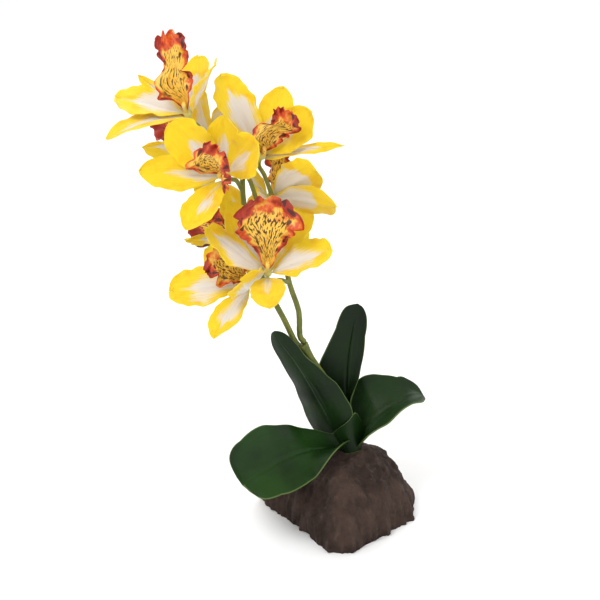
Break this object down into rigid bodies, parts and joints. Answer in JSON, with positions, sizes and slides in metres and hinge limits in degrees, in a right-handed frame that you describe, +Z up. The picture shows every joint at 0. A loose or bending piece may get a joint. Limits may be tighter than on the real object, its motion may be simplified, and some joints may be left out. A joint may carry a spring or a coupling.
{
  "type": "potted orchid",
  "caption": "Orchid spray with ruffled sepals, petals and rolled lips on a forked stem, with strap leaves, growing from a lump of dark rock.",
  "frame": {"origin": "on the rock's flat underside, below the plant's crown", "axes": "+Z up, X to the viewer's right, +Y to the back"},
  "size_m": [0.202, 0.1384, 0.3265],
  "materials": {
    "rock": "rough, matte, dark brown, with vertical flutes",
    "leaf": "coated, satin, deep green with a paler margin",
    "stem": "satin, olive green",
    "tepal": "matte, yellow margin round a pale cream centre",
    "lip": "matte, orange red margin, yellow throat with dark spots"
  },
  "bodies": {
    "root": {"crown": "stem", "flower_a_dorsal_sepal": "tepal", "flower_a_left_petal": "tepal", "flower_a_left_sepal": "tepal", "flower_a_lip": "lip", "flower_a_right_petal": "tepal", "flower_a_right_sepal": "tepal", "flower_b_dorsal_sepal": "tepal", "flower_b_left_petal": "tepal", "flower_b_left_sepal": "tepal", "flower_b_lip": "lip", "flower_b_right_petal": "tepal", "flower_b_right_sepal": "tepal", "flower_c_dorsal_sepal": "tepal", "flower_c_left_petal": "tepal", "flower_c_left_sepal": "tepal", "flower_c_lip": "lip", "flower_c_right_petal": "tepal", "flower_c_right_sepal": "tepal", "flower_d_dorsal_sepal": "tepal", "flower_d_left_petal": "tepal", "flower_d_left_sepal": "tepal", "flower_d_lip": "lip", "flower_d_right_petal": "tepal", "flower_d_right_sepal": "tepal", "flower_e_dorsal_sepal": "tepal", "flower_e_left_petal": "tepal", "flower_e_left_sepal": "tepal", "flower_e_lip": "lip", "flower_e_right_petal": "tepal", "flower_e_right_sepal": "tepal", "flower_f_dorsal_sepal": "tepal", "flower_f_left_petal": "tepal", "flower_f_left_sepal": "tepal", "flower_f_lip": "lip", "flower_f_right_petal": "tepal", "flower_f_right_sepal": "tepal", "flower_g_dorsal_sepal": "tepal", "flower_g_left_petal": "tepal", "flower_g_left_sepal": "tepal", "flower_g_lip": "lip", "flower_g_right_petal": "tepal", "flower_g_right_sepal": "tepal", "flower_h_dorsal_sepal": "tepal", "flower_h_left_petal": "tepal", "flower_h_left_sepal": "tepal", "flower_h_lip": "lip", "flower_h_right_petal": "tepal", "flower_h_right_sepal": "tepal", "leaf_back": "leaf", "leaf_front": "leaf", "leaf_left": "leaf", "leaf_right": "leaf", "left_stem": "stem", "right_stem": "stem", "rock": "rock", "trunk": "stem"}
  },
  "joints": []
}
